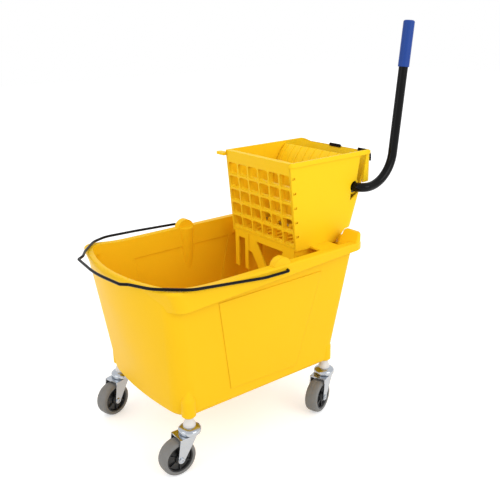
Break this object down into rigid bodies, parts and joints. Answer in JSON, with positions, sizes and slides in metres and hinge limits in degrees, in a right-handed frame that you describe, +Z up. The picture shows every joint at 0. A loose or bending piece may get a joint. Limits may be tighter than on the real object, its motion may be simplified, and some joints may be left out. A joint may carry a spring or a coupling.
{
  "type": "side press mop wringer bucket",
  "caption": "Mop bucket on swivel casters with a lift-off side press wringer: a pulled lever turns a plate that squeezes the mop against a grille.",
  "frame": {"origin": "centre of the bounding box's footprint, on the floor under the wheels", "axes": "+Z up; +X from the bowed front rim towards the wringer and its lever; the lever is on the -Y side"},
  "size_m": [0.747, 0.4, 0.8598],
  "materials": {
    "bucket_plastic": "bright yellow moulded polypropylene, satin",
    "wringer_plastic": "bright yellow moulded polypropylene, satin",
    "black_enamel": "gloss black enamel on steel",
    "grip_blue": "gloss blue moulded sleeve",
    "zinc_steel": "bright zinc plated pressed steel",
    "plain_steel": "plain steel",
    "tyre_grey": "grey non-marking rubber",
    "hub_black": "black moulded nylon",
    "nylon_white": "white nylon",
    "spring_steel": "oiled spring steel",
    "black_strap": "black painted steel strip",
    "cap_black": "black moulded plug"
  },
  "bodies": {
    "bucket": {"bucket_shell": "bucket_plastic", "stem_bush_front_left": "nylon_white", "caster_stem_front_left": "plain_steel", "swivel_cup_front_left": "zinc_steel", "stem_bush_front_right": "nylon_white", "caster_stem_front_right": "plain_steel", "swivel_cup_front_right": "zinc_steel", "stem_bush_rear_left": "nylon_white", "caster_stem_rear_left": "plain_steel", "swivel_cup_rear_left": "zinc_steel", "stem_bush_rear_right": "nylon_white", "caster_stem_rear_right": "plain_steel", "swivel_cup_rear_right": "zinc_steel", "swivel_balls": "plain_steel"},
    "caster_front_left": {"caster_fork_front_left": "zinc_steel", "axle_sleeve_front_left": "plain_steel", "axle_bolt_front_left": "zinc_steel", "axle_nut_front_left": "zinc_steel"},
    "wheel_front_left": {"tyre_front_left": "tyre_grey", "wheel_hub_front_left": "hub_black"},
    "caster_front_right": {"caster_fork_front_right": "zinc_steel", "axle_sleeve_front_right": "plain_steel", "axle_bolt_front_right": "zinc_steel", "axle_nut_front_right": "zinc_steel"},
    "wheel_front_right": {"tyre_front_right": "tyre_grey", "wheel_hub_front_right": "hub_black"},
    "caster_rear_left": {"caster_fork_rear_left": "zinc_steel", "axle_sleeve_rear_left": "plain_steel", "axle_bolt_rear_left": "zinc_steel", "axle_nut_rear_left": "zinc_steel"},
    "wheel_rear_left": {"tyre_rear_left": "tyre_grey", "wheel_hub_rear_left": "hub_black"},
    "caster_rear_right": {"caster_fork_rear_right": "zinc_steel", "axle_sleeve_rear_right": "plain_steel", "axle_bolt_rear_right": "zinc_steel", "axle_nut_rear_right": "zinc_steel"},
    "wheel_rear_right": {"tyre_rear_right": "tyre_grey", "wheel_hub_rear_right": "hub_black"},
    "bail": {"bail_handle": "black_enamel"},
    "wringer": {"wringer_body": "wringer_plastic", "front_grille": "wringer_plastic", "plate_hinge_rod": "plain_steel", "pivot_bush_left": "hub_black", "hanger_strap_left": "black_strap", "pivot_bush_right": "hub_black", "hanger_strap_right": "black_strap"},
    "plate": {"press_plate": "wringer_plastic"},
    "lever": {"lever_tube": "black_enamel", "lever_grip": "grip_blue", "tube_end_cap": "cap_black", "push_arm_left": "zinc_steel", "push_roller_left": "nylon_white", "roller_pin_left": "plain_steel", "arm_bolt_left": "zinc_steel", "return_spring_left": "spring_steel", "push_arm_right": "zinc_steel", "push_roller_right": "nylon_white", "roller_pin_right": "plain_steel", "arm_bolt_right": "zinc_steel", "return_spring_right": "spring_steel"}
  },
  "joints": [
    {"name": "caster_swivel_front_left", "type": "hinge", "parent": "bucket", "child": "caster_front_left", "pos_m": [-0.26438, -0.1465, 0.08], "axis": [0, 0, 1], "continuous": true},
    {"name": "wheel_roll_front_left", "type": "hinge", "parent": "caster_front_left", "child": "wheel_front_left", "pos_m": [-0.29676, -0.14537, 0.038], "axis": [0.0349, 0.9994, 0], "continuous": true},
    {"name": "caster_swivel_front_right", "type": "hinge", "parent": "bucket", "child": "caster_front_right", "pos_m": [-0.26438, 0.1465, 0.08], "axis": [0, 0, 1], "continuous": true},
    {"name": "wheel_roll_front_right", "type": "hinge", "parent": "caster_front_right", "child": "wheel_front_right", "pos_m": [-0.29568, 0.13811, 0.038], "axis": [-0.2588, 0.9659, 0], "continuous": true},
    {"name": "caster_swivel_rear_left", "type": "hinge", "parent": "bucket", "child": "caster_rear_left", "pos_m": [0.10962, -0.1465, 0.08], "axis": [0, 0, 1], "continuous": true},
    {"name": "wheel_roll_rear_left", "type": "hinge", "parent": "caster_rear_left", "child": "wheel_rear_left", "pos_m": [0.07917, -0.15758, 0.038], "axis": [-0.342, 0.9397, 0], "continuous": true},
    {"name": "caster_swivel_rear_right", "type": "hinge", "parent": "bucket", "child": "caster_rear_right", "pos_m": [0.10962, 0.1465, 0.08], "axis": [0, 0, 1], "continuous": true},
    {"name": "wheel_roll_rear_right", "type": "hinge", "parent": "caster_rear_right", "child": "wheel_rear_right", "pos_m": [0.07753, 0.14199, 0.038], "axis": [-0.1392, 0.9903, 0], "continuous": true},
    {"name": "bail_swing", "type": "hinge", "parent": "bucket", "child": "bail", "pos_m": [-0.04038, 0, 0.388], "axis": [0, -1, 0], "range_deg": [-96, 0]},
    {"name": "wringer_lift", "type": "slide", "parent": "bucket", "child": "wringer", "axis": [0, 0, 1], "range_m": [0, 0.3]},
    {"name": "lever_pull", "type": "hinge", "parent": "wringer", "child": "lever", "pos_m": [0.22862, 0, 0.502], "axis": [0, 1, 0], "range_deg": [0, 60], "stiffness_Nm_per_rad": 4, "springref_deg": -34.38, "deforming": ["return_spring_left", "return_spring_right"]},
    {"name": "plate_close", "type": "hinge", "parent": "wringer", "child": "plate", "pos_m": [0.13862, 0, 0.3995], "axis": [0, 1, 0], "range_deg": [-47.5, 0]}
  ],
  "couplings": [
    {"joint": "plate_close", "follows": "lever_pull", "ratio": -0.79}
  ]
}
